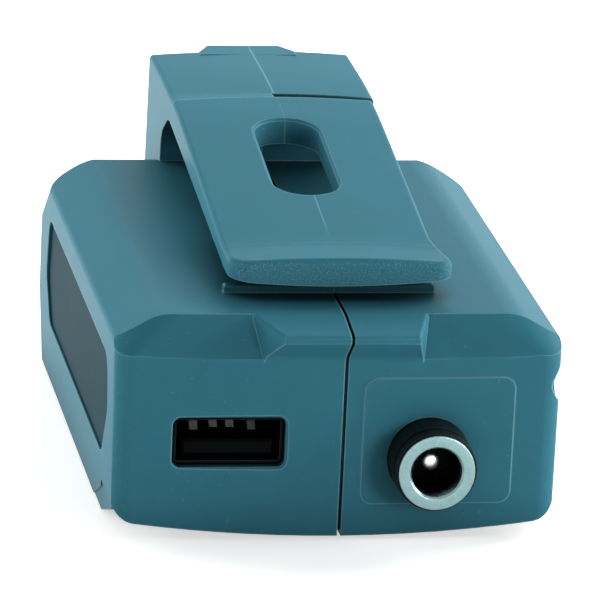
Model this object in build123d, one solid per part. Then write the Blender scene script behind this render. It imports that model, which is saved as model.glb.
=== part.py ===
from build123d import *
import math
import os

os.makedirs("parts", exist_ok=True)

# Sizes in mm. While the pieces are made, x = 0 is the middle of the body, y = 0 the middle of
# the front face and z = 0 the bottom of the side skirts.

# Body
body_width = 54.0
body_length = 83.0
body_height = 27.2
shoulder_drop = 3.1
shoulder_run = 5.4
shoulder_round = 1.0
crease_round = 7.0
side_draft = 0.3
wall = 2.0
parting_x = 0.6
front_bow = 0.5
front_corner = 2.5
rear_corner = 9.5
front_bevel_drop = 4.7
front_ledge = 0.3
front_rim_round = 0.15
front_bevel_run = 2.8
front_slope_corner = 9.0
front_slope_margin = 0.5
rear_crest_from_back = 12.0
rear_slope = 36.5
slope_spare = 0.05
nose_round = 5.0
nose_low = 11.0
skirt_from_back = 11.5
skirt_rake = 4.0
groove_width = 0.4
groove_depth = 0.6

# Underside
keel_height = 0.3
keel_side_height = 2.2
keel_round = 3.4
front_block_length = 20.0
floor_height = 3.2
channel_height = 9.0
channel_width = 48.8
channel_roof = 1.8
rail_width = 2.2
rail_height = 2.4
rebate_depth = 0.45
rebate_height = 3.05
rebate_start = 2.5
rebate_length = 8.6
rebate_slope_run = 6.4
inner_skirt = 2.6
catch_width = 20.0
catch_length = 5.0
catch_depth = 1.1
catch_from_back = 10.0

# Brow in front of the clip
brow_width_back = 21.3
brow_front_left = 7.6
brow_front_right = 8.7
brow_reach = 3.6
brow_nose = 0.7
brow_drop = 0.85
brow_corner_drop = 0.28
brow_corner_run = 0.5
brow_edge_round = 0.2
brow_side_round = 0.5
brow_hollow = 2.0
brow_sink = 0.08

# Stop rib under the clip's lip
rib_width = 25.6
rib_height = 1.0
rib_thickness = 1.3
rib_from_front = 11.2
rib_round = 0.35

# Belt clip
clip_width = 25.8
clip_x = 0.25
clip_rise = 11.3
clip_crown = 0.5
clip_edge_round = 0.7
clip_bend_round = 8.0
post_back_lean = 0.8
post_cap_lean = 0.2
post_lean_drop = 5.6
post_depth = 13.6
post_foot_drop = 13.2
post_cap_extra = 0.4
post_wall = 2.2
bend_from_back = 22.7
arch_rise = 7.4
arch_round = 6.0
lip_from_front = 7.3
lip_length = 7.0
lip_rise = 5.2
lip_upturn = 0.2
lip_thickness = 2.4
lip_belly = 0.8
lip_flare = 1.2
lip_corner_left = 3.0
lip_corner_right = 2.0
flare_run = 7.0
flare_round = 12.0
slot_width = 8.2
slot_length = 23.5
slot_middle = 40.9
slot_rim = 0.3
recess_depth = 0.6
recess_border = 1.8
recess_corner = 2.0
slit_width = 2.0
slit_start = 0.3
tab_top_left = 4.9
tab_top_right = 4.8
tab_base = 6.3
tab_reach = 3.0
tab_thickness = 3.0
tab_edge_round = 0.5

# Side label
label_length = 61.7
label_height = 13.5
label_low = 7.0
label_from_front = 6.9
label_front_point = 4.9
label_back_point = 4.4
label_point_height = 7.0
label_corner = 3.0
label_thickness = 0.3
label_recess = 0.7
label_gap = 0.15

# USB outlet
usb_x = -13.1
usb_z = 12.0
usb_shell_width = 13.1
usb_shell_height = 5.7
usb_shell_depth = 14.0
usb_shell_corner = 0.6
usb_sheet = 0.3
usb_setback = 1.2
usb_window_gap = 0.25
usb_window_corner = 1.0
usb_rim = 0.25
tongue_width = 11.1
tongue_thickness = 1.8
tongue_setback = 1.5
tongue_low = 0.65
usb_base_depth = 4.0
contact_pitches = (-3.5, -1.0, 1.0, 3.5)
outer_contact_lead = 1.0
contact_width = 1.0
contact_thickness = 0.25
contact_setback = 6.7

# Round DC outlet
jack_x = 11.0
jack_z = 10.1
collar_radius = 4.95
collar_reach = 5.5
collar_lip = 0.9
collar_lip_depth = 0.25
sleeve_flange_radius = 4.6
sleeve_flange = 0.5
sleeve_bore_radius = 3.0
sleeve_wall = 0.4
sleeve_chamfer = 0.25
neck_radius = 3.95
neck_length = 9.0
neck_gap = 0.1
jack_tail_radius = 3.5
jack_tail_length = 11.5
jack_bore_depth = 9.5
pin_radius = 1.05
pin_round = 0.8
pin_slit = 0.3
pin_slit_depth = 3.0
pin_setback = 4.1
pin_tail_radius = 0.6
tag_length = 1.7
tag_width = 1.6
tag_thickness = 0.4
tag_offset = 2.2
lead_radius = 0.6
lead_bend = 1.8
lead_straight = 1.8
lead_rise = 1.5
nut_across = 11.0
nut_thickness = 2.2
washer_thickness = 0.5
washer_radius = 5.6
spot_face = 0.1
panel_left = 2.9
panel_right = 21.2
panel_low = 4.3
panel_high = 20.05
panel_rise = 0.12
panel_corner = 1.5

# Board and what is on it
board_gap = 0.1
board_thickness = 1.6
board_width = 44.0
board_behind_screw = 0.3
board_tab_right = 3.0
board_end = 58.0
board_corner = 1.0
standoff_from_side = 4.0
standoff_from_end = 12.0
standoff_radius = 2.4
board_screw_radius = 1.0
board_screw_head = 2.0
board_screw_head_height = 1.4
board_screw_length = 5.0
board_screw_chamfer = 0.4
core_radius = 5.2
core_flange = 1.0
core_height = 5.0
core_post_radius = 2.2
core_from_left = 13.0
core_from_end = 21.0
winding_radius = 4.3
winding_chamfer = 0.4
capacitor_radius = 3.15
capacitor_ceiling_gap = 1.25
capacitor_bead = 1.0
capacitor_chamfer = 0.4
capacitor_bead_depth = 0.25
capacitor_from_right = 16.5
capacitor_from_end = (23.5, 15.0)
chip_length = 5.0
chip_width = 4.0
chip_height = 1.6
chip_from_left = 14.0
chip_from_end = 8.0
chip_pitch = 1.27
chip_legs = 4
diode_length = 6.6
diode_width = 5.0
diode_height = 2.3
diode_from_right = 7.5
diode_from_end = 34.0
fuse_length = 7.0
fuse_radius = 1.4
fuse_cap = 1.6
fuse_from_right = 7.0
fuse_from_end = 22.0

# Battery terminals
block_width = 26.0
block_depth = 14.0
block_low = 2.6
block_corner = 1.0
spigot_width = 22.0
spigot_depth = 6.0
spigot_from_front = 3.5
spigot_gap = 0.1
spigot_flange = 1.2
spigot_lip = 1.2
blade_spacing = 18.0
blade_thickness = 0.8
blade_low = 4.0
blade_height = 3.8
blade_from_front = 4.5
blade_reach = 8.6
blade_tail = 3.0
blade_above_board = 1.0
blade_slot = 3.2
blade_hole_gap = 0.2
plug_slot_width = 9.0
plug_slot_height = 3.4

# Housing screws: each stands along x
front_screw = 3.2
front_screw_above_board = 2.15
low_screw = 15.5
low_screw_above_floor = 2.4
middle_screw_from_back = 19.0
middle_screw_above_roof = 8.2
rear_screw_from_back = 7.0
rear_screw_above_roof = 3.8
boss_radius = 2.6
seat_boss_radius = 2.9
screw_radius = 1.3
screw_clear = 0.1
screw_thread_fit = 0.02
screw_head_radius = 2.3
screw_head_height = 1.8
screw_length = 16.0
screw_seat_x = 10.0
cross_width = 0.7
cross_length = 2.6
cross_depth = 1.0
screw_head_chamfer = 0.5

# Worked out from the sizes above
half_width = body_width / 2
shoulder_height = body_height - shoulder_drop
front_face_height = body_height - front_bevel_drop
roof_height = channel_height + channel_roof
half_clip = clip_width / 2
clip_top = body_height + clip_rise
arch_height = body_height + arch_rise
lip_top = body_height + lip_rise
post_foot = body_height - post_foot_drop
post_front = body_length - post_depth
lean_height = body_height - post_lean_drop
arch_end = post_front - arch_round
bend_y = body_length - bend_from_back
lip_y = lip_from_front
lip_back_y = lip_y + lip_length
lip_low = lip_top - lip_thickness
underside_angle = math.atan((arch_height - lip_low) / (arch_end - lip_back_y))
rebate_end = rebate_start + rebate_length
usb_low = usb_z - usb_shell_height / 2
board_low = usb_z + usb_shell_height / 2 + board_gap
board_top = board_low + board_thickness
board_start = front_screw + seat_boss_radius + board_behind_screw
standoff_x = board_width / 2 - standoff_from_side
standoff_y = board_end - standoff_from_end
core_x = core_from_left - board_width / 2
core_y = board_end - core_from_end
capacitor_x = board_width / 2 - capacitor_from_right
capacitor_top = body_height - wall - capacitor_ceiling_gap
chip_x = chip_from_left - board_width / 2
chip_y = board_end - chip_from_end
diode_x = board_width / 2 - diode_from_right
diode_y = board_end - diode_from_end
fuse_x = board_width / 2 - fuse_from_right
fuse_y = board_end - fuse_from_end
screw_places = [
    (front_screw, board_top + front_screw_above_board),
    (low_screw, floor_height + low_screw_above_floor),
    (body_length - middle_screw_from_back, roof_height + middle_screw_above_roof),
    (body_length - rear_screw_from_back, roof_height + rear_screw_above_roof),
]
tongue_top = usb_low + usb_sheet + tongue_low + tongue_thickness
jack_front = -collar_reach - sleeve_flange
screw_tip_x = screw_seat_x - screw_length
rearmost = max(body_length, body_length - post_back_lean + tab_reach)
middle_y = (rearmost + jack_front) / 2
far = 200.0


def prism_x(points, x_start, x_end, radius=None):
    # an outline in (y, z), carried along x
    line = FilletPolyline(*points, radius=radius, close=True) if radius else Polyline(*points, close=True)
    return extrude(Plane.YZ.offset(x_start) * make_face(line), x_end - x_start)


def prism_y(points, y_start, y_end, radius=None):
    # an outline in (x, z), carried along y
    line = FilletPolyline(*points, radius=radius, close=True) if radius else Polyline(*points, close=True)
    return extrude(Plane.XZ.offset(-y_end) * make_face(line), y_end - y_start)


def block(x_start, x_end, y_start, y_end, z_start, z_end):
    size = (x_end - x_start, y_end - y_start, z_end - z_start)
    return Pos(x_start, y_start, z_start) * Box(*size, align=(Align.MIN, Align.MIN, Align.MIN))


def rod_x(y, z, radius, x_start, x_end):
    rod = Cylinder(radius, x_end - x_start, align=(Align.CENTER, Align.CENTER, Align.MIN))
    return Pos(x_start, y, z) * Rot(0, 90, 0) * rod


def rod_y(x, z, radius, y_start, y_end):
    rod = Cylinder(radius, y_end - y_start, align=(Align.CENTER, Align.CENTER, Align.MIN))
    return Pos(x, y_start, z) * Rot(-90, 0, 0) * rod


def rod_z(x, y, radius, z_start, z_end):
    rod = Cylinder(radius, z_end - z_start, align=(Align.CENTER, Align.CENTER, Align.MIN))
    return Pos(x, y, z_start) * rod


def save(name, shape):
    placed = Pos(0, -middle_y, 0) * shape
    export_step(placed, "parts/" + name + ".step")


# Three outlines whose prisms cross to make the body: from above, from the front and from the side

def plan_outline():
    front = ThreePointArc((-half_width, front_bow), (0, 0), (half_width, front_bow))
    sides = Polyline(
        (half_width, front_bow),
        (half_width, body_length),
        (-half_width, body_length),
        (-half_width, front_bow),
    )
    face = make_face([front, sides])
    face = fillet(face.vertices().group_by(Axis.Y)[0], front_corner)
    return fillet(face.vertices().group_by(Axis.Y)[-1], rear_corner)


def rear_outline(inset):
    # its back stands a little outside the slope that the side outline cuts
    half = half_width - inset
    back = body_length - inset + slope_spare
    points = [(-half, -far), (half, -far), (half, back), (-half, back)]
    rounds = [0, 0, rear_corner - inset, rear_corner - inset]
    return make_face(FilletPolyline(*points, radius=rounds, close=True))


def section_outline():
    crease = half_width - shoulder_run
    foot = half_width - side_draft
    points = [(-foot, 0), (foot, 0), (half_width, shoulder_height), (crease, body_height)]
    points += [(-crease, body_height), (-half_width, shoulder_height)]
    rounds = [0, 0, shoulder_round, crease_round, crease_round, shoulder_round]
    return make_face(FilletPolyline(*points, radius=rounds, close=True))


def side_outline():
    crest = body_length - rear_crest_from_back
    nose_high = body_height - rear_crest_from_back * math.tan(math.radians(rear_slope))
    low_back = body_length - skirt_from_back
    points = [(-1, 0), (low_back, 0), (low_back + skirt_rake, channel_height), (body_length, nose_low)]
    points += [(body_length, nose_high), (crest, body_height), (front_bevel_run, body_height)]
    points += [(front_ledge, front_face_height), (-1, front_face_height)]
    rounds = [0, 0, 0, nose_round / 2, nose_round, nose_round, 0, 0, 0]
    return make_face(FilletPolyline(*points, radius=rounds, close=True))


def body_envelope(inset=0.0):
    plan = plan_outline()
    section = section_outline()
    side = side_outline()
    if inset > 0:
        plan = offset(plan, -inset)
        section = offset(section, -inset)
        side = offset(side, -inset)
    upright = extrude(plan, body_height)
    lengthwise = extrude(Plane.XZ.offset(-far) * section, 2 * far)
    crosswise = extrude(Plane.YZ.offset(-far) * side, 2 * far)
    slope = math.radians(rear_slope)
    nose_high = body_height - rear_crest_from_back * math.tan(slope)
    lean = Vector(0, -math.cos(slope), math.sin(slope))
    start = Pos(0, 0, nose_high) * rear_outline(inset)
    leaning = extrude(start, far / 4, dir=lean) + extrude(start, far / 4, dir=-lean)
    return upright & lengthwise & crosswise & leaning


def slope_outline(height, front, corner):
    # an outline from above, a little wider than the body, with rounded front corners
    half = half_width + front_slope_margin
    points = [(-half, front), (half, front), (half, far), (-half, far)]
    return Pos(0, 0, height) * make_face(FilletPolyline(*points, radius=[corner, corner, 0, 0], close=True))


def front_slope():
    # the slope above the front face turns its corners, tightly at its foot and widely at its crest
    low = slope_outline(front_face_height, front_ledge, front_corner + front_slope_margin)
    high = slope_outline(body_height, front_bevel_run, front_slope_corner)
    return loft([low, high], ruled=True) + block(-far, far, -1, far, -1, front_face_height)


def outer_body():
    # the front face's top edge, a narrow ledge, is rounded on both its sides
    body = body_envelope() & front_slope()
    ledge = [edge for edge in body.edges()
             if abs(edge.center().Z - front_face_height) < front_rim_round and edge.center().Y < front_bow]
    return fillet([edge for edge in ledge if edge.length > half_width], front_rim_round)


def above_keel():
    # the front block hangs down in a shallow arc, with rounded corners at its sides
    arc = ThreePointArc((-half_width, keel_side_height), (0, keel_height), (half_width, keel_side_height))
    upper = Polyline((half_width, keel_side_height), (half_width, far), (-half_width, far),
                     (-half_width, keel_side_height))
    face = make_face([arc, upper])
    face = fillet(face.vertices().group_by(Axis.Y)[0], keel_round)
    return extrude(Plane.XZ.offset(-far) * face, 2 * far)


def below_keel():
    top = keel_side_height + keel_round + 1
    inner = half_width - rebate_depth - inner_skirt
    below = block(-far, far, -1, rebate_end, -1, top)
    below += block(-inner, inner, rebate_end - 1, front_block_length, -1, top)
    return below - above_keel()


def channel():
    # the space that the battery slides into from behind, between two rails
    half_channel = channel_width / 2
    half_neck = half_channel - rail_width
    space = block(-half_channel, half_channel, front_block_length, far, rail_height, channel_height)
    space += block(-half_neck, half_neck, front_block_length, far, -1, rail_height)
    catch_y = body_length - catch_from_back
    catch = block(-catch_width / 2, catch_width / 2, catch_y - catch_length, catch_y,
                  channel_height - 1, channel_height + catch_depth)
    return space + catch


def side_rebates():
    slope_end = rebate_end + rebate_slope_run
    outline = [(rebate_start, -1), (slope_end, -1), (slope_end, 0), (rebate_end, rebate_height)]
    outline += [(rebate_start, rebate_height)]
    right = prism_x(outline, half_width - rebate_depth, half_width + 1)
    return right + mirror(right, Plane.YZ)


def inner_skirts():
    outer = half_width - rebate_depth
    outline = [(rebate_start, rebate_height), (rebate_end, 0), (front_block_length, 0)]
    outline += [(front_block_length, rebate_height + 1), (rebate_start, rebate_height + 1)]
    right = prism_x(outline, outer - inner_skirt, outer)
    return right + mirror(right, Plane.YZ)


def brow_outline():
    # its underside runs down into the front face in a hollow curve
    back = front_bevel_run + 1
    corner = body_height - brow_drop - brow_corner_drop
    outline = [(back, body_height), (front_bevel_run, body_height)]
    outline += [(-brow_reach + brow_corner_run, body_height - brow_drop), (-brow_reach, corner)]
    outline += [(-brow_reach, corner - brow_nose), (brow_sink, front_face_height)]
    outline += [(brow_sink, front_face_height - brow_hollow), (back, front_face_height - brow_hollow)]
    return FilletPolyline(*outline, radius=[0, 0, 0, 0, 0, brow_hollow, 0, 0], close=True)


def brow():
    half_back = brow_width_back / 2
    back = front_bevel_run + 1
    plan = [(-half_back, back), (-half_back, front_bevel_run), (-brow_front_left, -brow_reach)]
    plan += [(brow_front_right, -brow_reach), (half_back, front_bevel_run), (half_back, back)]
    solid = extrude(make_face(Polyline(*plan, close=True)), far)
    solid &= extrude(Plane.YZ.offset(-far) * make_face(brow_outline()), 2 * far)
    top_sides = [edge for edge in solid.edges() if edge.center().Y < front_bevel_run
                 and edge.center().Z > body_height - brow_drop - brow_corner_drop
                 and edge.length > brow_reach and abs(edge.tangent_at(0.5).X) < 0.9]
    solid = fillet(top_sides, brow_side_round)
    return fillet(solid.edges().group_by(Axis.Y)[0], brow_edge_round)


def rib():
    bar = block(-rib_width / 2, rib_width / 2, rib_from_front, rib_from_front + rib_thickness,
                body_height - 0.5, body_height + rib_height)
    return fillet(bar.edges().group_by(Axis.Z)[-1], rib_round)


def jack_panel():
    # a faint raised panel that follows the bow of the front
    arc = ThreePointArc((-half_width, front_bow - panel_rise), (0, -panel_rise),
                        (half_width, front_bow - panel_rise))
    back = Polyline((half_width, front_bow - panel_rise), (half_width, wall / 2),
                    (-half_width, wall / 2), (-half_width, front_bow - panel_rise))
    slab = extrude(make_face([arc, back]), body_height)
    outline = [(panel_left, panel_low), (panel_right, panel_low), (panel_right, panel_high)]
    outline += [(panel_left, panel_high)]
    return slab & prism_y(outline, -1, wall, radius=[panel_corner] * 4)


def housing_solid():
    solid = outer_body() - below_keel() - side_rebates() - channel() + inner_skirts()
    return solid + jack_panel() + brow() + rib()


def housing_cavity():
    front = block(-far, far, -far, front_block_length - wall, floor_height, far)
    rest = block(-far, far, 0, far, roof_height, far)
    return body_envelope(wall) & (front + rest)


# Belt clip: one side outline for post, bend and arm, then its plan, crown and lip

def clip_side(back_lean):
    # its top stands clear of the crown, which cuts it
    back = body_length
    spare = 2 * clip_crown
    lean = back_lean / (clip_top - lean_height)
    points = [
        (back, post_foot),
        (back, lean_height),
        (back - back_lean - spare * lean, clip_top + spare),
        (bend_y, clip_top + spare),
        (lip_back_y, lip_top + spare),
        (lip_y, lip_top + spare),
        (lip_y, lip_low),
        (lip_back_y, lip_low),
        (arch_end, arch_height),
        (post_front, arch_height - arch_round * 0.6),
        (post_front, post_foot),
    ]
    rounds = [0, 6, 0, 0, 0, 0, 0, 8, 5, 4, 0]
    return prism_x(points, -far, far, radius=rounds)


def clip_plan(right_extra=0.0):
    # the lip flares on the right only
    side = half_clip + right_extra
    flared = half_clip + lip_flare
    flare_end = lip_y + lip_length / 2
    points = [(-half_clip, lip_y), (flared, lip_y), (flared, flare_end), (side, flare_end + flare_run)]
    points += [(side, far), (-half_clip, far)]
    rounds = [lip_corner_left, lip_corner_right, flare_round, flare_round, 0, 0]
    return Pos(clip_x, 0, 0) * extrude(make_face(FilletPolyline(*points, radius=rounds, close=True)), far / 2)


def crown_face(top):
    # the clip's top is a little higher along its middle
    wide = half_clip + lip_flare + 1
    low = top - clip_crown * (wide / half_clip) ** 2
    arc = ThreePointArc((-wide, low), (0, top), (wide, low))
    return make_face([arc, Polyline((wide, low), (wide, 0), (-wide, 0), (-wide, low))])


def crown():
    # post top, arm and lip, each the same section carried along its own slope
    post = extrude(Plane.XZ.offset(-far) * crown_face(clip_top), far - bend_y)
    arm_lean = Vector(0, lip_back_y - bend_y, lip_top - clip_top)
    arm = extrude(Plane.XZ.offset(-bend_y) * crown_face(clip_top), arm_lean.length, dir=arm_lean)
    lip_lean = Vector(0, -lip_length, lip_upturn)
    lip = extrude(Plane.XZ.offset(-lip_back_y) * crown_face(lip_top), 2 * lip_length, dir=lip_lean)
    return Pos(clip_x, 0, 0) * (post + arm + lip)


def lip_belly_bar():
    # below the lip, deepest at its middle
    wide = half_clip + lip_flare
    high = lip_low + lip_thickness / 2
    arc = ThreePointArc((-wide, lip_low), (0, lip_low - lip_belly), (wide, lip_low))
    upper = Polyline((wide, lip_low), (wide, high), (-wide, high), (-wide, lip_low))
    return extrude(Plane.XZ.offset(-lip_back_y) * make_face([arc, upper]), lip_length)


def arm_slot():
    return extrude(Pos(clip_x, slot_middle) * SlotOverall(slot_length, slot_width, rotation=90), far)


def arm_recess():
    # the arm's underside is cored out between its borders
    up = (0, -math.sin(underside_angle), math.cos(underside_angle))
    underside = Plane(origin=(clip_x, lip_back_y, lip_low), x_dir=(1, 0, 0), z_dir=up)
    length = (bend_y - lip_back_y) / math.cos(underside_angle) - 2 * recess_border
    outline = Pos(0, length / 2 + recess_border) * RectangleRounded(clip_width - 2 * recess_border, length,
                                                                    recess_corner)
    return extrude(underside.offset(-1) * outline, 1 + recess_depth)


def post_tab():
    back = body_length - post_back_lean
    outline = Polyline((-tab_base, back - 2), (-tab_base, back), (-tab_top_left, back + tab_reach),
                       (tab_top_right, back + tab_reach), (tab_base, body_length - post_cap_lean),
                       (tab_base, back - 2), close=True)
    slab = Pos(0, 0, clip_top - tab_thickness) * extrude(make_face(outline), tab_thickness)
    behind = [edge for edge in slab.edges().group_by(Axis.Z)[-1] if edge.center().Y > back]
    return fillet(behind, tab_edge_round)


def top_faces(clip):
    # lip, arm and post, in that order
    return ShapeList(face for face in clip.faces() if face.normal_at().Z > 0.9).sort_by(Axis.Y)


def top_rim(clip):
    edges = [edge for face in top_faces(clip) for edge in face.edges()]
    return [edge for edge in edges if sum(edge.is_same(other) for other in edges) == 1]


def rounded_top(clip):
    # the two bends come first, so that the rim's rounding runs through them
    across_arm = top_faces(clip)[1].edges().sort_by(Axis.Y)
    clip = fillet([across_arm[0], across_arm[-1]], clip_bend_round)
    return fillet(top_rim(clip), clip_edge_round)


def clip_body(right_extra=0.0, back_lean=post_back_lean):
    return rounded_top(clip_side(back_lean) & clip_plan(right_extra) & crown())


def whole_clip():
    clip = clip_body() + (lip_belly_bar() & clip_plan()) - arm_slot()
    slot_edges = [edge for edge in top_rim(clip) if abs(edge.center().X) < slot_width
                  and abs(edge.center().Y - slot_middle) < slot_length]
    return chamfer(slot_edges, slot_rim) - arm_recess()


def post_core():
    back = body_length - wall
    front = post_front + post_wall
    low = post_foot + wall
    top = clip_top - clip_crown - post_wall
    outline = [(front, low), (back, low), (back, lean_height), (back - post_back_lean, top), (front, top)]
    half = half_clip - post_wall
    return prism_x(outline, clip_x - half, clip_x + half, radius=[0, 0, 4, 1, 1])


def belt_clip():
    return whole_clip() & block(-far, far, -far, bend_y, 0, far)


def post():
    # the right half of the post is a cap of its own, a little wider than the arm, behind the slit
    left = clip_body() & block(-far, parting_x, bend_y, far, 0, far)
    cap = clip_body(post_cap_extra, post_cap_lean) & block(parting_x, far, bend_y + slit_width, far, 0, far)
    notch = block(slit_start, parting_x + 1, bend_y - 1, bend_y + slit_width, 0, far)
    return left + cap + post_tab() - notch


# Housing halves

def joint_groove():
    # a fine groove along the joint, down the front, over the brow and along the top as far as the post
    body = side_outline() & Pos(far, far + keel_height) * Rectangle(2 * far, 2 * far)
    outline = body + make_face(brow_outline())
    ring = outline - offset(outline, -groove_depth)
    ring -= Pos(post_front + far, post_foot + far) * Rectangle(2 * far, 2 * far)
    return extrude(Plane.YZ.offset(parting_x - groove_width / 2) * ring, groove_width)


def screw_bosses():
    left = [rod_x(y, z, boss_radius, -half_width, parting_x) for y, z in screw_places]
    right = [rod_x(y, z, seat_boss_radius, parting_x, half_width) for y, z in screw_places]
    return left + right


def screw_holes():
    holes = []
    for y, z in screw_places:
        holes.append(rod_x(y, z, screw_radius + screw_thread_fit, screw_tip_x - 1, parting_x))
        holes.append(rod_x(y, z, screw_radius + screw_clear, parting_x, screw_seat_x))
        holes.append(rod_x(y, z, screw_head_radius + screw_clear, screw_seat_x, half_width + 1))
    return holes


def standoffs():
    return [rod_z(side * standoff_x, standoff_y, standoff_radius, roof_height - 0.5, board_low)
            for side in (-1, 1)]


def label_outline(gap=0.0):
    front = label_from_front + gap
    back = label_from_front + label_length - gap
    low = label_low + gap
    high = label_low + label_height - gap
    points = [(front, label_low + label_point_height), (front + label_front_point, low)]
    points += [(back - label_back_point, low), (back, label_low + label_point_height / 2 + 2)]
    points += [(back - label_back_point / 2, high), (front + 1, high)]
    return points


def label_seat_x():
    lean = side_draft * (1 - (label_low + label_height / 2) / shoulder_height)
    return -half_width + lean + label_recess


def label_pocket():
    return prism_x(label_outline(), -half_width - 1, label_seat_x(), radius=[label_corner] * 6)


def side_label():
    return prism_x(label_outline(label_gap), label_seat_x() - label_thickness, label_seat_x(),
                   radius=[label_corner - label_gap] * 6)


def usb_outline(gap, corner):
    half = usb_shell_width / 2 + gap
    tall = usb_shell_height / 2 + gap
    points = [(usb_x - half, usb_z - tall), (usb_x + half, usb_z - tall)]
    points += [(usb_x + half, usb_z + tall), (usb_x - half, usb_z + tall)]
    return points, [corner] * 4


def usb_window():
    # the opening, and a small slope round its rim
    points, rounds = usb_outline(usb_window_gap, usb_window_corner)
    window = prism_y(points, -1, wall + 1, radius=rounds)
    face_y = front_bow * (usb_x / half_width) ** 2
    points, rounds = usb_outline(usb_window_gap + usb_rim, usb_window_corner + usb_rim)
    rim = prism_y(points, -1, face_y + usb_rim, radius=rounds)
    return window + chamfer(rim.faces().sort_by(Axis.Y)[-1].edges(), usb_rim)


def jack_opening():
    hole = rod_y(jack_x, jack_z, neck_radius + neck_gap, -1, wall + 1)
    outside = rod_y(jack_x, jack_z, collar_radius + neck_gap, -1, spot_face)
    inside = rod_y(jack_x, jack_z, washer_radius + 1, wall, wall + 0.5)
    return [hole, outside, inside]


def spigot_window():
    half = spigot_width / 2 + spigot_gap
    start = front_block_length + spigot_from_front - spigot_gap
    return block(-half, half, start, start + spigot_depth + 2 * spigot_gap,
                 channel_height - 0.5, roof_height + 0.5)


def housing():
    body = housing_solid() + post() - housing_cavity() - post_core()
    inside = body_envelope(wall / 2)
    bosses = [boss & inside for boss in screw_bosses()]
    body = body + bosses + standoffs()
    body = body - screw_holes() - joint_groove() - usb_window() - jack_opening()
    body = body - label_pocket() - spigot_window()
    holes = [rod_z(side * standoff_x, standoff_y, board_screw_radius + screw_thread_fit,
                   board_top - board_screw_length, board_low) for side in (-1, 1)]
    return body - holes


def housing_halves():
    whole = housing()
    left = whole & block(-far, parting_x, -far, far, -far, far)
    right = whole & block(parting_x, far, -far, far, -far, far)
    return left, right


def cross_recess():
    bars = Box(2 * cross_depth, cross_width, cross_length) + Box(2 * cross_depth, cross_length, cross_width)
    return bars


def housing_screws():
    screws = []
    head_end = screw_seat_x + screw_head_height
    for y, z in screw_places:
        screw = rod_x(y, z, screw_radius, screw_tip_x, screw_seat_x)
        head = rod_x(y, z, screw_head_radius, screw_seat_x, head_end)
        head = chamfer(head.edges().group_by(Axis.X)[-1], screw_head_chamfer)
        screws.append(screw + head - Pos(head_end, y, z) * cross_recess())
    return Compound(screws)


# USB outlet

def usb_shell():
    points, rounds = usb_outline(0, usb_shell_corner)
    back = usb_setback + usb_shell_depth
    inner_points, inner_rounds = usb_outline(-usb_sheet, usb_shell_corner - usb_sheet)
    outer = prism_y(points, usb_setback, back, radius=rounds)
    return outer - prism_y(inner_points, usb_setback - 1, back + 1, radius=inner_rounds)


def contact_strips():
    back = usb_setback + usb_shell_depth + contact_thickness
    strips = []
    for pitch in contact_pitches:
        left = usb_x + pitch - contact_width / 2
        lead = outer_contact_lead if abs(pitch) == max(contact_pitches) else 0
        strip = block(left, left + contact_width, contact_setback - lead, back,
                      tongue_top - contact_thickness, tongue_top + 0.05)
        strip += block(left, left + contact_width, back - contact_thickness, back,
                       tongue_top - contact_thickness, board_top + 0.5)
        strips.append(strip)
    return strips


def usb_tongue():
    inner_points, inner_rounds = usb_outline(-usb_sheet, usb_shell_corner - usb_sheet)
    back = usb_setback + usb_shell_depth
    base = prism_y(inner_points, back - usb_base_depth, back, radius=inner_rounds)
    half = tongue_width / 2
    tongue = block(usb_x - half, usb_x + half, tongue_setback, back - 1,
                   tongue_top - tongue_thickness, tongue_top)
    tongue = chamfer(tongue.edges().group_by(Axis.Y)[0], 0.3)
    return tongue + base - contact_strips()


# Round DC outlet

def jack_body():
    collar = rod_y(jack_x, jack_z, collar_radius, -collar_reach, spot_face)
    collar = fillet(collar.edges().group_by(Axis.Y)[0], 0.25)
    band = rod_y(jack_x, jack_z, collar_radius + 1, collar_lip - collar_reach, 2 * collar_lip - collar_reach)
    band = band - rod_y(jack_x, jack_z, collar_radius - collar_lip_depth, -far, far)
    barrel = rod_y(jack_x, jack_z, neck_radius, 0, neck_length)
    barrel += rod_y(jack_x, jack_z, jack_tail_radius, neck_length - 1, jack_tail_length)
    bore_end = jack_front + jack_bore_depth
    body = collar - band + barrel
    body = body - rod_y(jack_x, jack_z, sleeve_bore_radius + sleeve_wall, -far, bore_end)
    return body - rod_y(jack_x, jack_z, pin_tail_radius, 0, far) - tag_plates()


def jack_sleeve():
    bore_end = jack_front + jack_bore_depth
    outer = rod_y(jack_x, jack_z, sleeve_flange_radius, jack_front, -collar_reach)
    outer = chamfer(outer.edges().group_by(Axis.Y)[0], 0.12)
    outer += rod_y(jack_x, jack_z, sleeve_bore_radius + sleeve_wall, -collar_reach - 0.1, bore_end)
    sleeve = outer - rod_y(jack_x, jack_z, sleeve_bore_radius, jack_front - 1, bore_end + 1)
    mouth = Cone(sleeve_bore_radius + sleeve_chamfer, sleeve_bore_radius, sleeve_chamfer,
                 align=(Align.CENTER, Align.CENTER, Align.MIN))
    return sleeve - Pos(jack_x, jack_front, jack_z) * Rot(-90, 0, 0) * mouth


def jack_pin():
    tip = jack_front + pin_setback
    bore_end = jack_front + jack_bore_depth
    pin = rod_y(jack_x, jack_z, pin_radius, tip, bore_end)
    pin = fillet(pin.edges().group_by(Axis.Y)[0], pin_round)
    pin -= block(jack_x - pin_slit / 2, jack_x + pin_slit / 2, tip - 1, tip + pin_slit_depth,
                 jack_z - pin_radius - 1, jack_z + pin_radius + 1)
    return pin + rod_y(jack_x, jack_z, pin_tail_radius, bore_end - 1, jack_tail_length + tag_length)


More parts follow.
